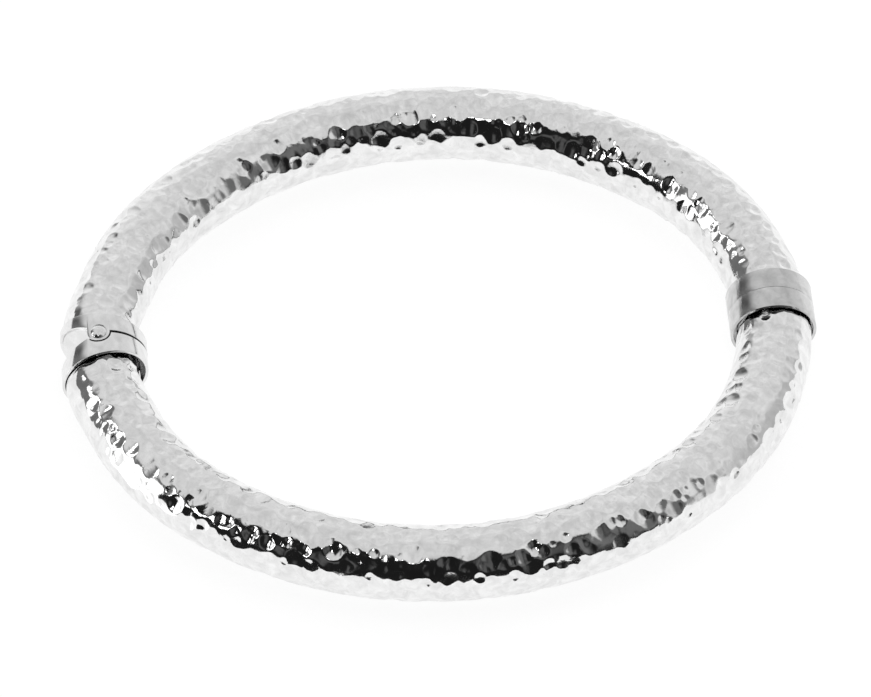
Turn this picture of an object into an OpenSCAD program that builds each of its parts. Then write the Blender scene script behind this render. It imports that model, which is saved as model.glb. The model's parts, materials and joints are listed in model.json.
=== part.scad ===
// Hinged oval bangle bracelet: two half ovals of hollow tube, joined by a pin hinge at -X and a
// push-in spring-tongue clasp at +X.
// Origin: the middle of the box's underside. X runs along the oval's long axis, +Y is the back
// half, and Z is the height above the surface that the bangle lies on.

/* [Oval] */
// Inside length, from the hinge to the clasp
inner_length = 59; // [58:0.5:61]
// Inside width, from the front half to the back half
inner_width = 48; // [47:0.5:50]
// Radius of the tighter bend at each end of the oval, to the middle of the tube
end_bend_r = 24.5; // [24:0.25:25]

/* [Tube] */
// Outside diameter of the tube
tube_d = 7.5; // [7.3:0.05:7.6]
// Thickness of the tube's wall
tube_wall = 0.5; // [0.4:0.05:0.6]

/* [Collars] */
// Outside diameter of the smooth collars over the tube's ends
collar_d = 8.6; // [8.5:0.05:8.8]
// Thickness of a collar's sheet
collar_wall = 0.3; // [0.25:0.05:0.35]
// Length of the back half's collar at the hinge, measured beside the pin
back_hinge_collar_l = 2.3; // [2.3:0.1:3]
// Length of the front half's collar at the hinge
front_hinge_collar_l = 2.7; // [2.3:0.1:3]
// Length of the back half's collar at the clasp
back_clasp_collar_l = 2.35; // [2:0.05:3]
// Length of the front half's collar at the clasp
front_clasp_collar_l = 2.4; // [2:0.05:3]
// Slant of the hinge collars' rims, in degrees, which makes them longer on the outside
hinge_rim_slant = 10; // [8:0.5:12]
// Thickness of the plates that close the tube's ends
plate_t = 0.5; // [0.4:0.05:0.6]

/* [Hinge] */
// Gap between the closed halves at the hinge
hinge_gap = 0.16; // [0.1:0.02:0.2]
// How far the pin stands outward from the middle of the tube
pin_offset = 0.4; // [0.2:0.05:0.5]
// Diameter of the hinge pin
pin_d = 1.0; // [0.9:0.05:1.1]
// Diameter of the pin's domed head
head_d = 1.6; // [1.5:0.05:1.7]
// Width of the round-ended ears that the back collar lays over the knuckle
ear_d = 2.2; // [2.1:0.05:2.3]
// Outside diameter of the knuckle
knuckle_d = 1.9; // [1.8:0.05:1.95]
// Angle that the back half's outer face falls back from the parting plane
back_bevel = 27; // [25:0.5:28]
// Angle that the front half's outer face falls back from the parting plane
front_bevel = 21; // [20:0.5:24]

/* [Clasp] */
// Gap between the closed halves at the clasp
clasp_gap = 0.06; // [0.06:0.02:0.12]
// How far the clasp's parting plane lies into the back half
clasp_offset = 0.4; // [0.2:0.05:0.4]
// Width of the tongue
tongue_w = 2.6; // [2.4:0.1:2.8]
// Reach of the tongue into the back half
tongue_l = 4.2; // [4:0.1:4.4]
// Thickness of the tongue's fixed leaf
base_leaf_t = 0.35; // [0.3:0.05:0.35]
// Thickness of the tongue's spring leaf
spring_leaf_t = 0.25; // [0.2:0.05:0.25]
// Room on each side of the tongue, for the arc that it swings through
tongue_side_gap = 0.25; // [0.25:0.05:0.3]
// Inside height of the catch box
catch_h = 1.5; // [1.5:0.05:1.6]
// Thickness of the catch box's sheet
catch_wall = 0.25; // [0.2:0.05:0.3]

/* [Hidden] */
$fn = 96;

// The oval is four tangent arcs: an end bend at each end and a side bend in each half.
half_l = (inner_length + tube_d) / 2;
half_w = (inner_width + tube_d) / 2;
side_bend_r = (half_l * half_l + half_w * half_w - 2 * half_l * end_bend_r)
              / (2 * (half_w - end_bend_r));
end_centre_x = half_l - end_bend_r;
side_centre_y = side_bend_r - half_w;
bend_join = atan2(side_centre_y, end_centre_x);

tube_r = tube_d / 2;
tube_z = collar_d / 2;
draw = 0.02;
lap = 1.5;
collar_r = collar_d / 2;
collar_bore_r = collar_r - collar_wall;
trim_reach = collar_r + pin_offset + 0.2;
trim_h = 3 * collar_d;
cut = 0.5;

pin_r = pin_d / 2;
pin_fit = 0.01;
pin_run_gap = 0.04;
head_r = head_d / 2;
head_seat = 0.15;
head_h = 0.42;
head_dome_r = 1.15;
foot_r = 0.75;
foot_h = 0.25;
ear_r = ear_d / 2;
ear_gap = 0.14;
seat_gap = 0.07;
knuckle_r = knuckle_d / 2;
knuckle_gap = 0.12;
knuckle_end_gap = 0.09;
knuckle_h = 2 * (sqrt(pow(collar_bore_r, 2) - pow(knuckle_r + pin_offset, 2)) - knuckle_end_gap);

catch_w = tongue_w + 2 * tongue_side_gap;
catch_depth = tongue_l + 1;
fold_r = 0.3;
fold_gap = 0.05;
fold_y = tongue_l - fold_r;
base_leaf_z = -catch_h / 2 + 0.1;
fold_z = base_leaf_z + fold_r;
leaf_l = fold_y - 0.5;
leaf_inset = 0.02;
leaf_roof_gap = 0.06;
leaf_top = fold_r - leaf_inset;
leaf_slope = asin((catch_h / 2 - leaf_roof_gap - fold_z - leaf_top) / leaf_l);

// The pin's axis, in the parting plane
module at_hinge() {
    translate([-half_l - pin_offset, 0, tube_z]) children();
}

// The middle of the tube in the clasp's parting plane
module at_clasp() {
    translate([half_l, clasp_offset, tube_z]) children();
}

// Turns a piece drawn for the back half into the front half's
module on_front() {
    mirror([0, 1, 0]) children();
}

// One bend of a round bar, about its own centre, on the tube's axis
module bend(centre, bend_r, bar_r, from, to) {
    translate([centre[0], centre[1], tube_z])
        rotate_extrude(start = from, angle = to - from)
            translate([bend_r, 0]) circle(r = bar_r);
}

// A round bar along the back half of the oval. The side bend runs on inside the ends of the end
// bends, thinner by the draw, so that the three are one solid.
module half_oval(bar_r) {
    bend([end_centre_x, 0], end_bend_r, bar_r, 0, bend_join);
    bend([0, -side_centre_y], side_bend_r, bar_r - draw, bend_join - lap, 180 - bend_join + lap);
    bend([-end_centre_x, 0], end_bend_r, bar_r, 180 - bend_join, 180);
}

// Plan of the face where a half meets the other: at a distance from the parting plane on the
// wrist's side of the pin, and falling back by the bevel on the outer side
function meeting_line(distance, bevel) = [
    [trim_reach, distance],
    [distance * tan(bevel / 2), distance],
    [-trim_reach, trim_reach * tan(bevel) + distance / cos(bevel)]
];

// Plan of a collar's rim, at its length from the parting plane
function rim_line(length, slant) = [
    [-trim_reach, length + trim_reach * tan(slant)],
    [trim_reach, length - trim_reach * tan(slant)]
];

// Plan of what lies between the meeting face and the rim
module collar_plan(gap, length, slant, bevel) {
    polygon(concat(meeting_line(gap / 2, bevel), rim_line(length, slant)));
}

// Plan of what lies in front of the back of the end plate, which the tube's end is cut back by
module tube_end_plan(gap, bevel) {
    polygon(concat(meeting_line(gap / 2 + plate_t, bevel),
                   [[-trim_reach, -trim_reach], [trim_reach, -trim_reach]]));
}

// Plan of an end plate, which follows the meeting face
module plate_plan(gap, bevel) {
    polygon(concat(meeting_line(gap / 2, bevel),
                   [for (i = [2:-1:0]) meeting_line(gap / 2 + plate_t, bevel)[i]]));
}

module upright(height = trim_h) {
    linear_extrude(height = height, center = true) children();
}

// A round bar along Y, through the parting plane
module bar(radius, middle) {
    translate([middle, 0, 0]) rotate([90, 0, 0]) cylinder(r = radius, h = trim_h, center = true);
}

module collar_sheet(middle) {
    difference() {
        bar(collar_r, middle);
        bar(collar_bore_r, middle);
    }
}

// Half of the tube, hollow and notched round the knuckle
module tube_half(hinge_bevel, clasp_y) {
    difference() {
        half_oval(tube_r);
        half_oval(tube_r - tube_wall);
        at_hinge() upright() tube_end_plan(hinge_gap, hinge_bevel);
        at_hinge() upright() circle(r = knuckle_r + knuckle_gap);
        translate([half_l, clasp_y, tube_z]) upright() tube_end_plan(clasp_gap, 0);
    }
}

// The knuckle splits each hinge end plate into two cheeks: one on the wrist's side of the pin
// (side = 1), in the parting plane, and one on the outer side (side = -1), along the bevel
module hinge_cheek(bevel, side, pin_room) {
    intersection() {
        bar(collar_bore_r, pin_offset);
        upright() difference() {
            plate_plan(hinge_gap, bevel);
            circle(r = pin_room);
            translate([-side * trim_reach, 0]) square(2 * trim_reach, center = true);
        }
    }
}

// A cheek soldered to the knuckle, cut down below the ears
module turning_cheek(side) {
    on_front() difference() {
        hinge_cheek(front_bevel, side, knuckle_r);
        for (end = [0, 1]) mirror([0, 0, end])
            translate([0, 0, knuckle_h / 2]) cylinder(r = ear_r + ear_gap, h = collar_r);
    }
}

module clasp_collar(length) {
    intersection() {
        collar_sheet(0);
        upright() collar_plan(clasp_gap, length, 0, 0);
    }
}

module clasp_disc() {
    intersection() {
        bar(collar_bore_r, 0);
        upright() plate_plan(clasp_gap, 0);
    }
}

module back_tube() {
    color("silver") tube_half(back_bevel, clasp_offset);
}

module front_tube() {
    color("silver") on_front() tube_half(front_bevel, -clasp_offset);
}

// Smooth collar whose top and bottom ears carry the pin
module back_hinge_collar() {
    color("gainsboro") at_hinge() difference() {
        intersection() {
            collar_sheet(pin_offset);
            union() {
                upright() collar_plan(hinge_gap, back_hinge_collar_l, hinge_rim_slant, back_bevel);
                cylinder(r = ear_r, h = trim_h, center = true);
                translate([-ear_r, 0, -trim_h / 2]) cube([ear_d, ear_r, trim_h]);
            }
        }
        cylinder(r = pin_r + pin_fit, h = trim_h, center = true);
        translate([0, 0, collar_r - head_seat]) cylinder(r = head_r + seat_gap, h = cut);
        translate([0, 0, -collar_r])
            cylinder(r1 = foot_r + pin_fit, r2 = pin_r + pin_fit, h = foot_h);
    }
}

// Smooth collar with a round cut-out for each ear
module front_hinge_collar() {
    color("gainsboro") at_hinge() on_front() intersection() {
        collar_sheet(pin_offset);
        upright() difference() {
            collar_plan(hinge_gap, front_hinge_collar_l, hinge_rim_slant, front_bevel);
            circle(r = ear_r + ear_gap);
        }
    }
}

// The back half's cheeks clear the turning knuckle
module back_inner_cheek() {
    color("lightgray") at_hinge() hinge_cheek(back_bevel, 1, knuckle_r + knuckle_gap);
}

module back_outer_cheek() {
    color("lightgray") at_hinge() hinge_cheek(back_bevel, -1, knuckle_r + knuckle_gap);
}

module front_inner_cheek() {
    color("lightgray") at_hinge() turning_cheek(1);
}

module front_outer_cheek() {
    color("lightgray") at_hinge() turning_cheek(-1);
}

// Barrel that turns on the pin between the ears
module hinge_knuckle() {
    color("darkgray") at_hinge() difference() {
        cylinder(r = knuckle_r, h = knuckle_h, center = true);
        cylinder(r = pin_r + pin_run_gap, h = trim_h, center = true);
    }
}

// Pin with a domed head on top, riveted flush in a countersink below
module hinge_pin() {
    color("whitesmoke") at_hinge() union() {
        translate([0, 0, -collar_r + foot_h]) cylinder(r = pin_r, h = collar_d - foot_h - head_seat);
        translate([0, 0, -collar_r]) cylinder(r1 = foot_r, r2 = pin_r, h = foot_h);
        translate([0, 0, collar_r - head_seat]) rotate_extrude() intersection() {
            square([head_r, head_h]);
            translate([0, head_h - head_dome_r]) circle(r = head_dome_r);
        }
    }
}

module back_clasp_collar() {
    color("gainsboro") at_clasp() clasp_collar(back_clasp_collar_l);
}

module front_clasp_collar() {
    color("gainsboro") at_clasp() on_front() clasp_collar(front_clasp_collar_l);
}

// Outside of the catch box, from the meeting face into the back half
module catch_block(inset) {
    translate([-catch_w / 2 - catch_wall + inset, clasp_gap / 2, -catch_h / 2 - catch_wall + inset])
        cube([catch_w + 2 * (catch_wall - inset),
              catch_depth + catch_wall - inset,
              catch_h + 2 * (catch_wall - inset)]);
}

// Box of thin sheet that takes the tongue, open at the meeting face
module catch_box() {
    color("darkgray") at_clasp() difference() {
        catch_block(0);
        translate([0, -cut, 0]) catch_block(catch_wall);
        catch_block(catch_wall);
    }
}

// End plate around the mouth of the catch box
module back_clasp_plate() {
    color("lightgray") at_clasp() difference() {
        clasp_disc();
        catch_block(0);
    }
}

// Fixed lower leaf of the tongue, from the back of its end plate
module leaf_block() {
    root_y = -clasp_gap / 2 - plate_t;
    translate([-tongue_w / 2, root_y, base_leaf_z]) cube([tongue_w, fold_y - root_y, base_leaf_t]);
}

module front_clasp_plate() {
    color("lightgray") at_clasp() difference() {
        on_front() clasp_disc();
        leaf_block();
    }
}

// The fold at the tongue's tip, which lies across the tongue
module tongue_fold(radius, width) {
    translate([0, fold_y, fold_z]) rotate([0, 90, 0]) cylinder(r = radius, h = width, center = true);
}

module tongue_base() {
    color("lightgray") at_clasp() difference() {
        leaf_block();
        tongue_fold(fold_r + fold_gap, tongue_w + cut);
    }
}

// Upper leaf of the tongue, which springs from the fold and rises to the catch box's roof
module tongue_spring() {
    color("whitesmoke") at_clasp() union() {
        tongue_fold(fold_r, tongue_w);
        translate([0, fold_y, fold_z]) rotate([-leaf_slope, 0, 0])
            translate([-tongue_w / 2, -leaf_l, leaf_top - spring_leaf_t])
                cube([tongue_w, leaf_l, spring_leaf_t]);
    }
}

back_tube();
back_hinge_collar();
back_inner_cheek();
back_outer_cheek();
hinge_pin();
back_clasp_collar();
back_clasp_plate();
catch_box();
front_tube();
front_hinge_collar();
front_inner_cheek();
front_outer_cheek();
hinge_knuckle();
front_clasp_collar();
front_clasp_plate();
tongue_base();
tongue_spring();
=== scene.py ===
"""Hinged oval bangle of hollow hammered silver tube, lying closed on a white surface.

Everything is in metres, in the frame of the CAD model: X along the oval's long axis with the hinge at -X and
the clasp at +X, +Y towards the back half, Z up from the surface.
"""

import json
import math

import bpy
import numpy as np
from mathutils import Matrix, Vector


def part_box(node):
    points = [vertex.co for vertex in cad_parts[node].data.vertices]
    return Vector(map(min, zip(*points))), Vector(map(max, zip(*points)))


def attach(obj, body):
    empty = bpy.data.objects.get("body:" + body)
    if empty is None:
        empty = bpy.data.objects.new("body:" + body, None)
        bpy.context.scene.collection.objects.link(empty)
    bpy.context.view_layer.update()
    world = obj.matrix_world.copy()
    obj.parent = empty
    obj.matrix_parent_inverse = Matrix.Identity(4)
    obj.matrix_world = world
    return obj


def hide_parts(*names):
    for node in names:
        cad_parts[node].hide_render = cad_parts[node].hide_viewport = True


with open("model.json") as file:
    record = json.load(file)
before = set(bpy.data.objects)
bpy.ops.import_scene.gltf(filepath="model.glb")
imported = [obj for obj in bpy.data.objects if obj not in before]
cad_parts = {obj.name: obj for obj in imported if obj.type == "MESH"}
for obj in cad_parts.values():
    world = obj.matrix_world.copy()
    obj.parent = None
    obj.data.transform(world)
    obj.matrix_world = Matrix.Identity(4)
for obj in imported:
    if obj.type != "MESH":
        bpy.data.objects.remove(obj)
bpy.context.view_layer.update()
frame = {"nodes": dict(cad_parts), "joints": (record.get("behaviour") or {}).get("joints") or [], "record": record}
MM = 0.001

# ----------------------------------------------------------------------------------------------------
# The bangle's dimensions, from the frame. _R is a radius, _T a thickness and _H a height.
# ----------------------------------------------------------------------------------------------------

JOINTS = {joint["name"]: joint for joint in frame["joints"]}
PIN_X = JOINTS["bangle_hinge"]["pos_m"][0]
HALF_LENGTH = JOINTS["tongue_flex"]["pos_m"][0]
TUBE_LOW, TUBE_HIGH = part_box("back_tube")
BACK_HINGE_LOW, BACK_HINGE_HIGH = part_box("back_hinge_collar")
FRONT_HINGE_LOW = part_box("front_hinge_collar")[0]
BACK_CLASP_LOW, BACK_CLASP_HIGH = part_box("back_clasp_collar")
FRONT_CLASP_LOW, FRONT_CLASP_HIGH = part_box("front_clasp_collar")
PIN_LOW, PIN_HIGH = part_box("hinge_pin")

TUBE_R = (TUBE_HIGH.z - TUBE_LOW.z) / 2
TUBE_Z = (TUBE_HIGH.z + TUBE_LOW.z) / 2
TUBE_WALL = 0.5 * MM
HALF_WIDTH = TUBE_HIGH.y - TUBE_R
END_BEND_R = 24.5 * MM
PLATE_T = 0.5 * MM
TUBE_SET_BACK = 0.55 * MM

COLLAR_R = (BACK_CLASP_HIGH.z - BACK_CLASP_LOW.z) / 2
COLLAR_WALL = 0.3 * MM
COLLAR_BORE_R = COLLAR_R - COLLAR_WALL
HINGE_X = (BACK_HINGE_LOW.x + BACK_HINGE_HIGH.x) / 2
HINGE_GAP = 2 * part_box("back_inner_cheek")[0].y
RIM_SLANT = math.radians(10)
BACK_BEVEL = math.radians(27)
FRONT_BEVEL = math.radians(21)
EAR_R = 1.1 * MM
EAR_GAP = 0.14 * MM
CLASP_Y = (BACK_CLASP_LOW.y + FRONT_CLASP_HIGH.y) / 2
CLASP_GAP = BACK_CLASP_LOW.y - FRONT_CLASP_HIGH.y

PIN_HEAD_R = (PIN_HIGH.x - PIN_LOW.x) / 2
PIN_HEAD_H = 0.42 * MM
PIN_DOME_R = 1.15 * MM
PIN_R = 0.5 * MM
PIN_FOOT_R = 0.75 * MM
PIN_FOOT_H = 0.25 * MM
PIN_SEAT_R = PIN_HEAD_R + 0.07 * MM

# The oval is four tangent arcs: an end bend at each end and a side bend in each half.
SIDE_BEND_R = (HALF_LENGTH**2 + HALF_WIDTH**2 - 2 * HALF_LENGTH * END_BEND_R) / (
    2 * (HALF_WIDTH - END_BEND_R)
)
END_CENTRE_X = HALF_LENGTH - END_BEND_R
SIDE_CENTRE_Y = SIDE_BEND_R - HALF_WIDTH
BEND_JOIN = math.atan2(SIDE_CENTRE_Y, END_CENTRE_X)
END_ARC = END_BEND_R * BEND_JOIN
SIDE_ARC = SIDE_BEND_R * (math.pi - 2 * BEND_JOIN)
HALF_OVAL = 2 * END_ARC + SIDE_ARC


def oval_frame(travel):
    """Middle of the tube and outward direction, at distances along the back half from the hinge."""
    travel = np.asarray(travel, float)
    near_hinge = travel < END_ARC
    near_clasp = travel > END_ARC + SIDE_ARC
    angle = math.pi - BEND_JOIN - (travel - END_ARC) / SIDE_BEND_R
    angle = np.where(near_hinge, math.pi - travel / END_BEND_R, angle)
    angle = np.where(near_clasp, (HALF_OVAL - travel) / END_BEND_R, angle)
    centre_x = np.where(near_hinge, -END_CENTRE_X, np.where(near_clasp, END_CENTRE_X, 0.0))
    centre_y = np.where(near_hinge | near_clasp, 0.0, -SIDE_CENTRE_Y)
    bend_r = np.where(near_hinge | near_clasp, END_BEND_R, SIDE_BEND_R)
    outward = np.stack([np.cos(angle), np.sin(angle)], -1)
    middle = np.stack([centre_x, centre_y], -1) + bend_r[..., None] * outward
    return middle, outward


def meeting_distance(inward, gap, bevel, extra):
    """How far a half's face is from the parting plane, at a distance from the pin towards the wrist."""
    distance = gap / 2 + extra
    sloping = -inward * math.tan(bevel) + distance / math.cos(bevel)
    return np.where(inward > distance * math.tan(bevel / 2), distance, sloping)


# ----------------------------------------------------------------------------------------------------
# Mesh helpers
# ----------------------------------------------------------------------------------------------------


SHARP_ANGLE = math.radians(45)


def mesh_object(name, points, faces, material, smooth=True):
    """A mesh object from an array of points and a list of faces."""
    mesh = bpy.data.meshes.new(name)
    mesh.from_pydata([tuple(p) for p in points], [], faces)
    mesh.validate()
    mesh.polygons.foreach_set("use_smooth", [smooth] * len(mesh.polygons))
    mesh.materials.append(material)
    mesh.update()
    piece = bpy.data.objects.new(name, mesh)
    bpy.context.scene.collection.objects.link(piece)
    return piece


def ring_faces(rows, columns, closed_rows, closed_columns, flip=False):
    """Quads of a grid of rows by columns, closed round on itself where asked."""
    row = np.arange(rows if closed_rows else rows - 1)
    column = np.arange(columns if closed_columns else columns - 1)
    i, j = np.meshgrid(row, column, indexing="ij")
    next_i = (i + 1) % rows
    next_j = (j + 1) % columns
    corners = [i * columns + j, i * columns + next_j, next_i * columns + next_j, next_i * columns + j]
    if flip:
        corners.reverse()
    return np.stack(corners, -1).reshape(-1, 4).tolist()


def keep_flats(piece):
    """Lets a piece's flat and straight faces keep their own normals beside its rounded edges."""
    piece.data.set_sharp_from_angle(angle=SHARP_ANGLE)
    weighted = piece.modifiers.new("keep_flats", "WEIGHTED_NORMAL")
    weighted.keep_sharp = True


def sheet_section(inner_r, outer_r, edge_r, steps=4):
    """Round a sheet's section with rounded edges: (at its far end?, distance from that end, radius)."""
    section = []
    for corner in range(4):
        at_far_end = corner in (1, 2)
        along_centre = -edge_r if at_far_end else edge_r
        radius_centre = outer_r - edge_r if corner in (0, 1) else inner_r + edge_r
        for step in range(steps + 1):
            turn = math.pi - (corner + step / steps) * math.pi / 2
            along = along_centre + edge_r * math.cos(turn)
            section.append((at_far_end, along, radius_centre + edge_r * math.sin(turn)))
    return section


def turned_piece(name, outline, centre, material, steps=96):
    """A piece turned about an upright axis from an outline of (radius, height) that starts and ends on it."""
    middle = outline[1:-1]
    points = [(centre[0], centre[1], outline[0][1]), (centre[0], centre[1], outline[-1][1])]
    for radius, height in middle:
        for step in range(steps):
            turn = 2 * math.pi * step / steps
            points.append((centre[0] + radius * math.cos(turn), centre[1] + radius * math.sin(turn), height))
    faces = [[corner + 2 for corner in face] for face in ring_faces(len(middle), steps, False, True)]
    last = 2 + (len(middle) - 1) * steps
    for step in range(steps):
        after = (step + 1) % steps
        faces.append([0, 2 + after, 2 + step])
        faces.append([1, last + step, last + after])
    return mesh_object(name, points, faces, material)


# ----------------------------------------------------------------------------------------------------
# Materials
# ----------------------------------------------------------------------------------------------------


# Noise scales, in cells per metre, and the middle of a noise's values, where nearly all of them lie
CLOUD_SCALE = 900.0
HAZE_SCALE = 900.0
SCRATCH_SCALE = 2200.0
DENT_SCALE = 1300.0
NOISE_MIDDLE = (0.3, 0.7)

# Places of a mix node's sockets, several of which have the same name
MIX_FACTOR = 0
MIX_VALUES = (2, 3)
MIX_COLOURS = (6, 7)
MIX_COLOUR_RESULT = 2


def noise_node(nodes, links, vector, scale, detail, distortion=0.0):
    """The value of a noise texture at the places that a vector gives."""
    noise = nodes.new("ShaderNodeTexNoise")
    noise.inputs["Scale"].default_value = scale
    noise.inputs["Detail"].default_value = detail
    noise.inputs["Distortion"].default_value = distortion
    links.new(vector, noise.inputs["Vector"])
    return noise.outputs["Fac"]


def range_node(nodes, links, value, low, high):
    """Spreads the middle of a noise over a range of values."""
    spread = nodes.new("ShaderNodeMapRange")
    spread.inputs["From Min"].default_value = NOISE_MIDDLE[0]
    spread.inputs["From Max"].default_value = NOISE_MIDDLE[1]
    spread.inputs["To Min"].default_value = low
    spread.inputs["To Max"].default_value = high
    links.new(value, spread.inputs["Value"])
    return spread.outputs["Result"]


def bump_node(nodes, links, height, distance, normal=None):
    """A normal bent by a height that is worth a distance, on top of another normal if one is given."""
    bump = nodes.new("ShaderNodeBump")
    bump.inputs["Strength"].default_value = 1.0
    bump.inputs["Distance"].default_value = distance
    links.new(height, bump.inputs["Height"])
    if normal:
        links.new(normal, bump.inputs["Normal"])
    return bump.outputs["Normal"]


def silver(name, tone, tone_spread, roughness, roughness_spread, scratch_depth, brushed=1.0, dent_depth=0.0):
    """Silver with cloudy marks, shallow dents and fine scratches, which brushed draws out along Y."""
    material = bpy.data.materials.new(name)
    material.use_nodes = True
    nodes, links = material.node_tree.nodes, material.node_tree.links
    shader = nodes["Principled BSDF"]
    shader.inputs["Metallic"].default_value = 1.0
    place = nodes.new("ShaderNodeTexCoord").outputs["Object"]

    cloud = noise_node(nodes, links, place, CLOUD_SCALE, 4.0, 0.6)
    colour = nodes.new("ShaderNodeMix")
    colour.data_type = "RGBA"
    for socket, grey in zip(MIX_COLOURS, (tone - tone_spread, tone + tone_spread)):
        colour.inputs[socket].default_value = (grey, grey, grey, 1)
    links.new(range_node(nodes, links, cloud, 0.0, 1.0), colour.inputs[MIX_FACTOR])
    links.new(colour.outputs[MIX_COLOUR_RESULT], shader.inputs["Base Color"])

    haze = noise_node(nodes, links, place, HAZE_SCALE, 3.0)
    low, high = roughness - roughness_spread, roughness + roughness_spread
    links.new(range_node(nodes, links, haze, low, high), shader.inputs["Roughness"])

    stretch = nodes.new("ShaderNodeMapping")
    stretch.inputs["Scale"].default_value = (brushed, 1.0, brushed)
    links.new(place, stretch.inputs["Vector"])
    scratches = noise_node(nodes, links, stretch.outputs["Vector"], SCRATCH_SCALE, 2.0, 0.3)
    scratched = bump_node(nodes, links, scratches, scratch_depth)
    if dent_depth:
        dents = noise_node(nodes, links, place, DENT_SCALE, 2.0, 0.4)
        scratched = bump_node(nodes, links, dents, dent_depth, scratched)
    links.new(scratched, shader.inputs["Normal"])
    return material


# Name, tone, spread of the tone, roughness, spread of the roughness and depth of the scratches in metres
HAMMERED = silver("hammered_silver", 0.83, 0.09, 0.08, 0.03, 0.6e-6, dent_depth=18e-6)
POLISHED = silver("polished_silver", 0.80, 0.05, 0.12, 0.04, 0.8e-6)
# Silver for the clasp collars, painted darker as painted shade for the darker reflections these smooth collars
# show
SHADED_COLLAR_SILVER = silver("shaded_collar_silver", 0.61, 0.08, 0.15, 0.05, 1.4e-6)
SATIN = silver("satin_silver", 0.80, 0.04, 0.16, 0.05, 1e-6, brushed=4.0)
# Nearly black silver for the cheeks and knuckle inside the hinge: painted shade for the shadowed gap there
SHADE_DARKENED_SILVER = silver("shade_darkened_silver", 0.16, 0.05, 0.30, 0.08, 1e-6, brushed=3.0)
SPRING = silver("spring_steel", 0.70, 0.03, 0.16, 0.04, 1e-6, brushed=5.0)


# ----------------------------------------------------------------------------------------------------
# Hammered tubes
# ----------------------------------------------------------------------------------------------------

AROUND = 144
ALONG = 620
INSIDE_STEP = 12
DIMPLE_PITCH = 1.1 * MM
DIMPLE_R = (0.45 * MM, 1.15 * MM)
DIMPLE_SLOPE = (0.16, 0.56)
DIMPLE_SLOPE_BIAS = 1.6
RIDGE_LIFT = 0.035 * MM

# On the wrist's side of a bend the rows of points lie closer together, so a blow reaches more of them.
ROW_CROWDING = 1.4
ROW_MARGIN = 4
COLUMN_MARGIN = 2

# In its collars the tube is set outward by up to these shifts, and over the fade it comes back to its middle.
BORE_CLEARANCE = 0.03 * MM
BORE_ROOM = COLLAR_BORE_R - TUBE_R - BORE_CLEARANCE
HINGE_SHIFT = 0.45 * MM
CLASP_SHIFT = 0.1 * MM
SHIFT_FADE = (3.5 * MM, 9.0 * MM)


def tube_surface(travel, around, radius, to_front):
    """Points of the tube at distances along it and angles round it, where angle 0 is outward and 90 is up."""
    middle, outward = oval_frame(travel)
    reach = radius * np.cos(around)
    points = np.empty(np.broadcast(travel, around).shape + (3,))
    points[..., :2] = middle + reach[..., None] * outward
    points[..., 2] = TUBE_Z + radius * np.sin(around)
    if to_front:
        points[..., 1] *= -1
    return points


def hammer_marks(travel, around, seed):
    """Depth of the dimples at each point of a tube: the deepest of the round blows that reach it."""
    random = np.random.default_rng(seed)
    smooth_tube = tube_surface(travel, around, TUBE_R, False)
    depth = np.zeros(travel.shape)
    rows, columns = travel.shape
    steps = int(HALF_OVAL / DIMPLE_PITCH)
    turns = int(2 * math.pi * TUBE_R / DIMPLE_PITCH)
    row_step = HALF_OVAL / rows
    column_step = 2 * math.pi * TUBE_R / columns
    for step in range(steps):
        for turn in range(turns):
            blow_travel = (step + 0.5 + random.uniform(-0.5, 0.5)) * HALF_OVAL / steps
            blow_around = (turn + 0.5 * (step % 2) + random.uniform(-0.5, 0.5)) * 2 * math.pi / turns
            radius = random.uniform(*DIMPLE_R)
            steepness = random.uniform() ** DIMPLE_SLOPE_BIAS
            slope = DIMPLE_SLOPE[0] + (DIMPLE_SLOPE[1] - DIMPLE_SLOPE[0]) * steepness
            centre = tube_surface(np.array(blow_travel), np.array(blow_around), TUBE_R, False)
            column = int(round(blow_around * TUBE_R / column_step))
            column_reach = int(radius / column_step) + COLUMN_MARGIN
            near_columns = np.arange(column - column_reach, column + column_reach + 1) % columns
            row = np.searchsorted(travel[:, column % columns], blow_travel)
            row_reach = int(ROW_CROWDING * radius / row_step) + ROW_MARGIN
            near_rows = np.arange(max(row - row_reach, 0), min(row + row_reach, rows))
            patch = np.ix_(near_rows, near_columns)
            away = np.linalg.norm(smooth_tube[patch] - centre, axis=-1) / radius
            depth[patch] = np.maximum(depth[patch], 0.5 * slope * radius * (1 - away**2))
    return depth


def end_share(distance):
    """1 inside the collar at an end of the tube, falling smoothly to 0 farther along it."""
    start, end = SHIFT_FADE
    share = np.clip((end - distance) / (end - start), 0, 1)
    return share**2 * (3 - 2 * share)


def end_shift(distance, most):
    """How far outward the tube is set near an end, as far as the collar's bore leaves room."""
    room = BORE_ROOM + distance**2 / (2 * END_BEND_R)
    return np.minimum(room, most) * end_share(distance)


def tube_radius(travel, around, marks):
    """Radius of the hammered tube about its own middle line, which its ends leave towards the outer side."""
    shift = end_shift(travel, HINGE_SHIFT) + end_shift(HALF_OVAL - travel, CLASP_SHIFT)
    spared = end_share(travel) * np.maximum(np.cos(around), 0)
    return TUBE_R + shift * np.cos(around) + np.minimum(RIDGE_LIFT - marks, 0) * (1 - spared)


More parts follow.
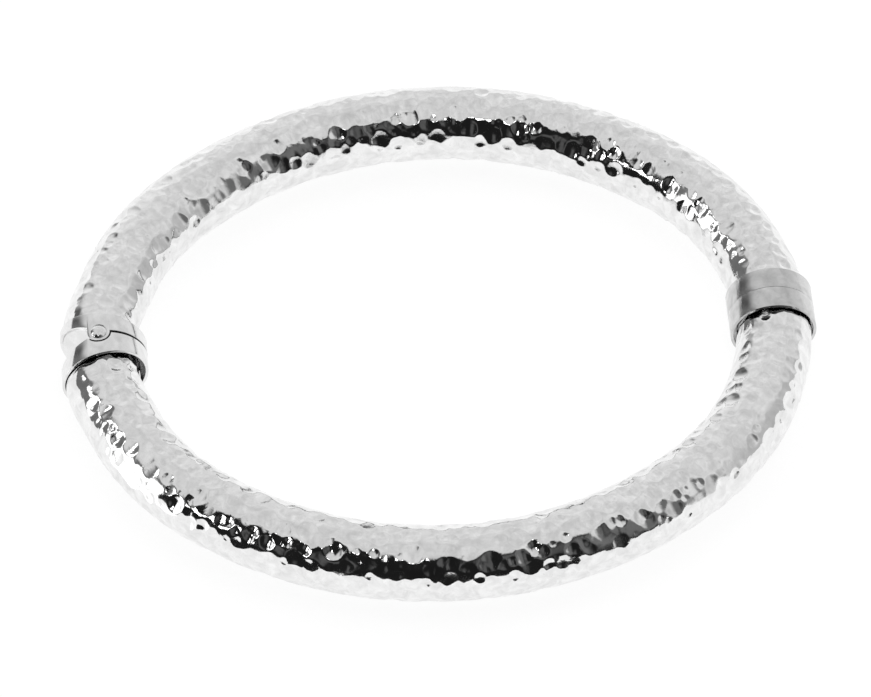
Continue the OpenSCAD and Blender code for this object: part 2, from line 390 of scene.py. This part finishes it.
def hammered_tube(name, to_front, hinge_bevel, seed):
    """One half of the bangle's tube, hollow, hammered outside, with its ends cut along the end plates."""
    around = np.linspace(0, 2 * math.pi, AROUND, endpoint=False)
    part = np.linspace(0, 1, ALONG)[:, None]
    inward = -TUBE_R * np.cos(around) + HINGE_X - PIN_X
    hinge_end = meeting_distance(inward, HINGE_GAP, hinge_bevel, PLATE_T + TUBE_SET_BACK)
    clasp_end = HALF_OVAL - (CLASP_GAP / 2 + PLATE_T + TUBE_SET_BACK) - (-CLASP_Y if to_front else CLASP_Y)
    travel = hinge_end + (clasp_end - hinge_end) * part
    around = np.broadcast_to(around, travel.shape)
    radius = tube_radius(travel, around, hammer_marks(travel, around, seed))
    outside = tube_surface(travel, around, radius, to_front)
    kept_rows = list(range(0, ALONG - 1, INSIDE_STEP)) + [ALONG - 1]
    inner_radius = tube_radius(travel, around, 0) - TUBE_WALL
    inside = tube_surface(travel[kept_rows], around[kept_rows], inner_radius[kept_rows], to_front)

    points = np.concatenate([outside.reshape(-1, 3), inside.reshape(-1, 3)])
    faces = ring_faces(ALONG, AROUND, False, True, flip=to_front)
    first_inside = ALONG * AROUND
    for face in ring_faces(len(kept_rows), AROUND, False, True, flip=not to_front):
        faces.append([corner + first_inside for corner in face])
    last_outside = (ALONG - 1) * AROUND
    last_inside = first_inside + (len(kept_rows) - 1) * AROUND
    for j in range(AROUND):
        k = (j + 1) % AROUND
        hinge_face = [j, first_inside + j, first_inside + k, k]
        clasp_face = [last_outside + k, last_inside + k, last_inside + j, last_outside + j]
        faces.append(hinge_face[::-1] if to_front else hinge_face)
        faces.append(clasp_face[::-1] if to_front else clasp_face)
    return mesh_object(name, points, faces, HAMMERED)


for tube_name, tube_body, tube_is_front, tube_bevel, tube_seed in (
    ("back_tube", "back_half", False, BACK_BEVEL, 11),
    ("front_tube", "front_half", True, FRONT_BEVEL, 23),
):
    tube = hammered_tube("hammered_" + tube_name, tube_is_front, tube_bevel, tube_seed)
    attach(tube, tube_body)
    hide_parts(tube_name)


# ----------------------------------------------------------------------------------------------------
# Collars
# ----------------------------------------------------------------------------------------------------

COLLAR_EDGE_R = 0.05 * MM
CRISP_EDGE_R = 0.02 * MM
PARTING_WEAR = 0.04 * MM
COLLAR_COLUMNS = 192
EAR_COLUMNS = 32
ANGLE_DECIMALS = 6

# An ear's side is one steep facet this wide, and the ear's outermost point counts as part of it.
EAR_SIDE = 0.004 * MM
EAR_ROUNDING = 0.001 * MM

# The clasp closes tighter than its CAD gap: each collar stands this far from the parting plane.
CLASP_REVEAL = CLASP_GAP / 6


def collar(name, centre, angles, near_end, far_end, edge_r, to_front, material):
    """A band of sheet with rounded edges, between two distances from the parting plane at each angle."""
    section = sheet_section(COLLAR_BORE_R, COLLAR_R, edge_r)
    side = -1 if to_front else 1
    points = []
    for angle, near, far in zip(angles, near_end, far_end):
        for at_far_end, along, radius in section:
            distance = (far if at_far_end else near) + along
            x = centre[0] + radius * math.cos(angle)
            z = centre[2] + radius * math.sin(angle)
            points.append((x, centre[1] + side * distance, z))
    faces = ring_faces(len(angles), len(section), True, True, flip=not to_front)
    return mesh_object(name, points, faces, material)


def hinge_collar(name, to_front, bevel, length):
    """A collar at the hinge: the back one has an ear at top and bottom, and the front one makes room."""
    ear = EAR_R + EAR_GAP if to_front else EAR_R
    across = ear * np.cos(np.linspace(0, math.pi, EAR_COLUMNS + 1))
    beside = ear + EAR_SIDE
    ear_angles = np.arccos((np.concatenate([across, [beside, -beside]]) + PIN_X - HINGE_X) / COLLAR_R)
    even_angles = np.linspace(-math.pi, math.pi, COLLAR_COLUMNS, endpoint=False)
    angles = np.unique(np.concatenate([even_angles, ear_angles, -ear_angles]).round(ANGLE_DECIMALS))
    inward = COLLAR_R * np.cos(angles) + HINGE_X - PIN_X
    near_end = meeting_distance(inward, HINGE_GAP, bevel, PARTING_WEAR)
    bow = np.sqrt(np.clip(ear**2 - inward**2, 0, None))
    over_ear = np.abs(inward) < ear + EAR_ROUNDING
    if to_front:
        near_end = np.where(over_ear, np.maximum(near_end, bow), near_end)
    else:
        near_end = np.where(over_ear, -bow, near_end)
    far_end = length - inward * math.tan(RIM_SLANT)
    centre = (HINGE_X, 0, TUBE_Z)
    return collar(name, centre, angles, near_end, far_end, COLLAR_EDGE_R, to_front, POLISHED)


def clasp_collar(name, to_front, length):
    """A plain collar at the clasp, with crisp edges."""
    angles = np.linspace(-math.pi, math.pi, COLLAR_COLUMNS, endpoint=False)
    near_end = np.full(COLLAR_COLUMNS, CLASP_REVEAL)
    far_end = np.full(COLLAR_COLUMNS, length)
    centre = (HALF_LENGTH, CLASP_Y, TUBE_Z)
    # The clasp collars get the silver painted darker: painted shade, not wear
    return collar(name, centre, angles, near_end, far_end, CRISP_EDGE_R, to_front, SHADED_COLLAR_SILVER)


def cut_away(piece, cutter):
    """Takes the cutter's solid out of a piece."""
    cut = piece.modifiers.new("cut", "BOOLEAN")
    cut.solver = "EXACT"
    cut.object = cutter
    left = bpy.data.meshes.new_from_object(piece.evaluated_get(bpy.context.evaluated_depsgraph_get()))
    piece.modifiers.remove(cut)
    piece.data = left
    bpy.data.objects.remove(cutter)


SLANT_REACH = math.tan(RIM_SLANT) * (PIN_X - BACK_HINGE_LOW.x)
BACK_HINGE_LENGTH = BACK_HINGE_HIGH.y - SLANT_REACH
FRONT_HINGE_LENGTH = -FRONT_HINGE_LOW.y - SLANT_REACH
back_hinge_collar = hinge_collar("smooth_back_hinge_collar", False, BACK_BEVEL, BACK_HINGE_LENGTH)
front_hinge_collar = hinge_collar("smooth_front_hinge_collar", True, FRONT_BEVEL, FRONT_HINGE_LENGTH)

SEAT_Z = PIN_HIGH.z - PIN_HEAD_H
SEAT_TOP = PIN_HIGH.z + PIN_HEAD_H
seat_outline = [(0, SEAT_Z), (PIN_SEAT_R, SEAT_Z), (PIN_SEAT_R, SEAT_TOP), (0, SEAT_TOP)]
cut_away(back_hinge_collar, turned_piece("pin_seat", seat_outline, (PIN_X, 0), POLISHED))

back_clasp_collar = clasp_collar("smooth_back_clasp_collar", False, BACK_CLASP_HIGH.y - CLASP_Y)
front_clasp_collar = clasp_collar("smooth_front_clasp_collar", True, CLASP_Y - FRONT_CLASP_LOW.y)
COLLARS = (
    (back_hinge_collar, "back_hinge_collar", "back_half"),
    (front_hinge_collar, "front_hinge_collar", "front_half"),
    (back_clasp_collar, "back_clasp_collar", "back_half"),
    (front_clasp_collar, "front_clasp_collar", "front_half"),
)
for piece, node_name, body_name in COLLARS:
    keep_flats(piece)
    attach(piece, body_name)
    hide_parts(node_name)


# ----------------------------------------------------------------------------------------------------
# Hinge pin
# ----------------------------------------------------------------------------------------------------


DOME_STEPS = 16
DOME_END_INSET = 0.03 * MM
HEAD_EDGE_INSET = 0.008 * MM
HEAD_EDGE_DROP = 0.02 * MM
HEAD_SIDE_DROP = 0.05 * MM
HEAD_LIFT = 0.005 * MM
FOOT_EDGE_INSET = 0.02 * MM
FOOT_EDGE_H = 0.01 * MM


def pin_outline():
    """Half section of the pin, from the top of its dome to the middle of its flush foot."""
    outline = []
    dome_reach = math.asin((PIN_HEAD_R - DOME_END_INSET) / PIN_DOME_R)
    for step in range(DOME_STEPS + 1):
        turn = dome_reach * step / DOME_STEPS
        outline.append((PIN_DOME_R * math.sin(turn), PIN_HIGH.z - PIN_DOME_R * (1 - math.cos(turn))))
    dome_end_z = outline[-1][1]
    outline += [
        (PIN_HEAD_R - HEAD_EDGE_INSET, dome_end_z - HEAD_EDGE_DROP),
        (PIN_HEAD_R, dome_end_z - HEAD_SIDE_DROP),
        (PIN_HEAD_R, SEAT_Z + HEAD_LIFT),
        (PIN_R, SEAT_Z + HEAD_LIFT),
        (PIN_R, PIN_LOW.z + PIN_FOOT_H),
        (PIN_FOOT_R, PIN_LOW.z + FOOT_EDGE_H),
        (PIN_FOOT_R - FOOT_EDGE_INSET, PIN_LOW.z),
        (0, PIN_LOW.z),
    ]
    return outline


pin = turned_piece("domed_hinge_pin", pin_outline(), (PIN_X, 0), POLISHED)
keep_flats(pin)
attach(pin, "back_half")
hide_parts("hinge_pin")


# ----------------------------------------------------------------------------------------------------
# CAD nodes that keep their shape
# ----------------------------------------------------------------------------------------------------

NODE_MATERIALS = {
    "hammered_silver": HAMMERED,
    "polished_silver": POLISHED,
    "satin_silver": SATIN,
    "spring_steel": SPRING,
}
# These parts inside the hinge get the nearly black silver as painted shade, standing in for the shadow in the
# hinge's gap
HINGE_SHADE_NODES = ("back_inner_cheek", "front_inner_cheek", "front_outer_cheek", "hinge_knuckle")
for subpart in frame["record"]["subparts"]:
    in_painted_shade = subpart["node"] in HINGE_SHADE_NODES
    node_object = frame["nodes"][subpart["node"]]
    for material_slot in node_object.material_slots:
        material_slot.material = SHADE_DARKENED_SILVER if in_painted_shade else NODE_MATERIALS[subpart["material_slot"]]


# ----------------------------------------------------------------------------------------------------
# Camera
# ----------------------------------------------------------------------------------------------------

CAMERA_AZIMUTH = math.radians(-4.5)
CAMERA_ELEVATION = math.radians(52)
CAMERA_DISTANCE = 603.8 * MM
IMAGE_WIDTH = 871
FOCAL_LENGTH_PX = 6074
DRAWN_RIGHT_PX = 3.2
DRAWN_UP_PX = 11.5
SENSOR_WIDTH_MM = 36
CLIP_NEAR = 0.05
CLIP_FAR = 20

camera_data = bpy.data.cameras.new("camera")
camera_data.sensor_width = SENSOR_WIDTH_MM
camera_data.lens = camera_data.sensor_width * FOCAL_LENGTH_PX / IMAGE_WIDTH
camera_data.shift_x = -DRAWN_RIGHT_PX / IMAGE_WIDTH
camera_data.shift_y = -DRAWN_UP_PX / IMAGE_WIDTH
camera_data.clip_start = CLIP_NEAR
camera_data.clip_end = CLIP_FAR
camera = bpy.data.objects.new("camera", camera_data)
bpy.context.scene.collection.objects.link(camera)
camera_side = Vector(
    (
        math.cos(CAMERA_ELEVATION) * math.sin(CAMERA_AZIMUTH),
        -math.cos(CAMERA_ELEVATION) * math.cos(CAMERA_AZIMUTH),
        math.sin(CAMERA_ELEVATION),
    )
)
camera.location = Vector((0, 0, TUBE_Z)) + CAMERA_DISTANCE * camera_side
camera.rotation_euler = (-camera_side).to_track_quat("-Z", "Y").to_euler()
bpy.context.scene.camera = camera


# ----------------------------------------------------------------------------------------------------
# Surface and light
# ----------------------------------------------------------------------------------------------------


SHEET_TONE = 0.2
SURFACE_REACH = 3.0
SURFACE_ROUGHNESS = 0.9
SURFACE_GLOW = 0.88
PATCH_HEIGHT = 0.05 * MM
PATCH_ROUGHNESS = 0.5
PATCH_GLOW = 1.3


def glowing_sheet(name, corners, roughness, glow):
    """A flat sheet with four corners that shines evenly and mirrors nothing."""
    sheet = mesh_object(name, corners, [(0, 1, 2, 3)], bpy.data.materials.new(name), smooth=False)
    material = sheet.data.materials[0]
    material.use_nodes = True
    shader = material.node_tree.nodes["Principled BSDF"]
    shader.inputs["Base Color"].default_value = (SHEET_TONE, SHEET_TONE, SHEET_TONE, 1)
    shader.inputs["Roughness"].default_value = roughness
    shader.inputs["Specular IOR Level"].default_value = 0.0
    shader.inputs["Emission Color"].default_value = (1, 1, 1, 1)
    shader.inputs["Emission Strength"].default_value = glow
    return sheet


def white_surface():
    """A wide white sheet under the bangle, bright enough to leave only a faint shadow."""
    side = SURFACE_REACH
    corners = [(-side, -side, 0), (side, -side, 0), (side, side, 0), (-side, side, 0)]
    floor = glowing_sheet("floor", corners, SURFACE_ROUGHNESS, SURFACE_GLOW)


def window_light_on_surface():
    """Where the window's light falls on the surface, on the left, just outside the bangle."""
    near_back, near_front = (-48 * MM, -12 * MM), (-42 * MM, -30 * MM)
    far_front, far_back = (-1.0, -0.3), (-1.0, 0.05)
    corners = [(x, y, PATCH_HEIGHT) for x, y in (near_back, near_front, far_front, far_back)]
    patch = glowing_sheet("window_light", corners, PATCH_ROUGHNESS, PATCH_GLOW)


# Panels round the bangle: azimuth from the camera's side, positive to the right, and elevation, both as
# (low, high) in degrees, then the softness of the edges in degrees and the brightness.
PANELS = (
    ("far left, in shade", (-138, -66), (-20, 27), 12, 0.10),
    ("left wall", (-122, -66), (-20, 44), 5, 0.17),
    ("right wall", (72, 116), (-20, 34), 12, 0.54),
    ("opening for the camera", (-68, 56), (-20, 67), 4, 0.012),
    ("half-lit side of the opening", (38, 66), (8, 58), 9, 0.16),
    ("stand beside the camera", (-38, -20), (20, 42), 6, 0.09),
    ("hands behind the camera", (12, 34), (34, 60), 7, 0.10),
    ("window", (-95, -67), (1, 34), 2, 1.6),
    ("upper window", (-108, -99), (24, 42), 2, 3.0),
    ("lamp over the camera", (-16, -6), (62, 66), 1.0, 6.0),
    ("small lamp on the left", (-60, -52), (26, 40), 1.0, 4.0),
)


# The tent grows darker from the first elevation to the second, in degrees, and its folds vary that a little.
TENT_FADE = (0.0, 70.0)
TENT_LEVELS = (0.86, 0.76)
FOLD_SCALE = 2.6
FOLD_DETAIL = 3.0
FOLD_DISTORTION = 0.5
FOLD_LEVELS = (0.84, 1.12)


def tent_light():
    """A white tent round the bangle, with panels of other brightness let into it."""
    world = bpy.data.worlds.new("tent")
    bpy.context.scene.world = world
    world.use_nodes = True
    nodes, links = world.node_tree.nodes, world.node_tree.links
    direction = nodes.new("ShaderNodeTexCoord").outputs["Generated"]
    split = nodes.new("ShaderNodeSeparateXYZ")
    links.new(direction, split.inputs["Vector"])

    def maths(operation, first, second=0.0):
        """The result of a sum on numbers or on other nodes' results."""
        node = nodes.new("ShaderNodeMath")
        node.operation = operation
        for socket, value in zip(node.inputs, (first, second)):
            if isinstance(value, (int, float)):
                socket.default_value = value
            else:
                links.new(value, socket)
        return node.outputs[0]

    def step(value, start, end, low=0.0, high=1.0):
        """A smooth step from low at start to high at end."""
        node = nodes.new("ShaderNodeMapRange")
        node.interpolation_type = "SMOOTHSTEP"
        node.inputs["From Min"].default_value = start
        node.inputs["From Max"].default_value = end
        node.inputs["To Min"].default_value = low
        node.inputs["To Max"].default_value = high
        links.new(value, node.inputs["Value"])
        return node.outputs["Result"]

    def between(value, limits, softness):
        """1 between the limits and 0 outside them, with soft edges."""
        rise = step(value, limits[0] - softness, limits[0] + softness)
        fall = step(value, limits[1] - softness, limits[1] + softness, 1.0, 0.0)
        return maths("MULTIPLY", rise, fall)

    toward_camera = maths("MULTIPLY", split.outputs["Y"], -1.0)
    azimuth = maths("MULTIPLY", maths("ARCTAN2", split.outputs["X"], toward_camera), 180 / math.pi)
    azimuth = maths("SUBTRACT", azimuth, math.degrees(CAMERA_AZIMUTH))
    elevation = maths("MULTIPLY", maths("ARCSINE", split.outputs["Z"]), 180 / math.pi)

    brightness = step(elevation, *TENT_FADE, *TENT_LEVELS)
    folds = noise_node(nodes, links, direction, FOLD_SCALE, FOLD_DETAIL, FOLD_DISTORTION)
    brightness = maths("MULTIPLY", brightness, range_node(nodes, links, folds, *FOLD_LEVELS))
    for _, azimuths, elevations, softness, level in PANELS:
        across = between(azimuth, azimuths, softness)
        upright = between(elevation, elevations, softness)
        share = maths("MULTIPLY", across, upright)
        mix = nodes.new("ShaderNodeMix")
        links.new(share, mix.inputs[MIX_FACTOR])
        links.new(brightness, mix.inputs[MIX_VALUES[0]])
        mix.inputs[MIX_VALUES[1]].default_value = level
        brightness = mix.outputs[0]
    background = nodes["Background"]
    background.inputs["Color"].default_value = (1, 1, 1, 1)
    links.new(brightness, background.inputs["Strength"])


def area_lamp(name, place, side, power):
    """A square lamp that faces the bangle."""
    data = bpy.data.lights.new(name, "AREA")
    data.size = side
    data.energy = power
    lamp = bpy.data.objects.new(name, data)
    lamp.location = place
    lamp.rotation_euler = (Vector((0, 0, TUBE_Z)) - Vector(place)).to_track_quat("-Z", "Y").to_euler()
    bpy.context.scene.collection.objects.link(lamp)
    return lamp


OVERHEAD_PLACE = (0.1, 0.2, 1.2)
OVERHEAD_SIDE = 1.0
OVERHEAD_POWER = 3.0

white_surface()
window_light_on_surface()
tent_light()
overhead = area_lamp("overhead", OVERHEAD_PLACE, OVERHEAD_SIDE, OVERHEAD_POWER)
overhead.visible_glossy = False

bpy.context.scene.view_settings.view_transform = "Standard"
bpy.context.scene.view_settings.look = "None"
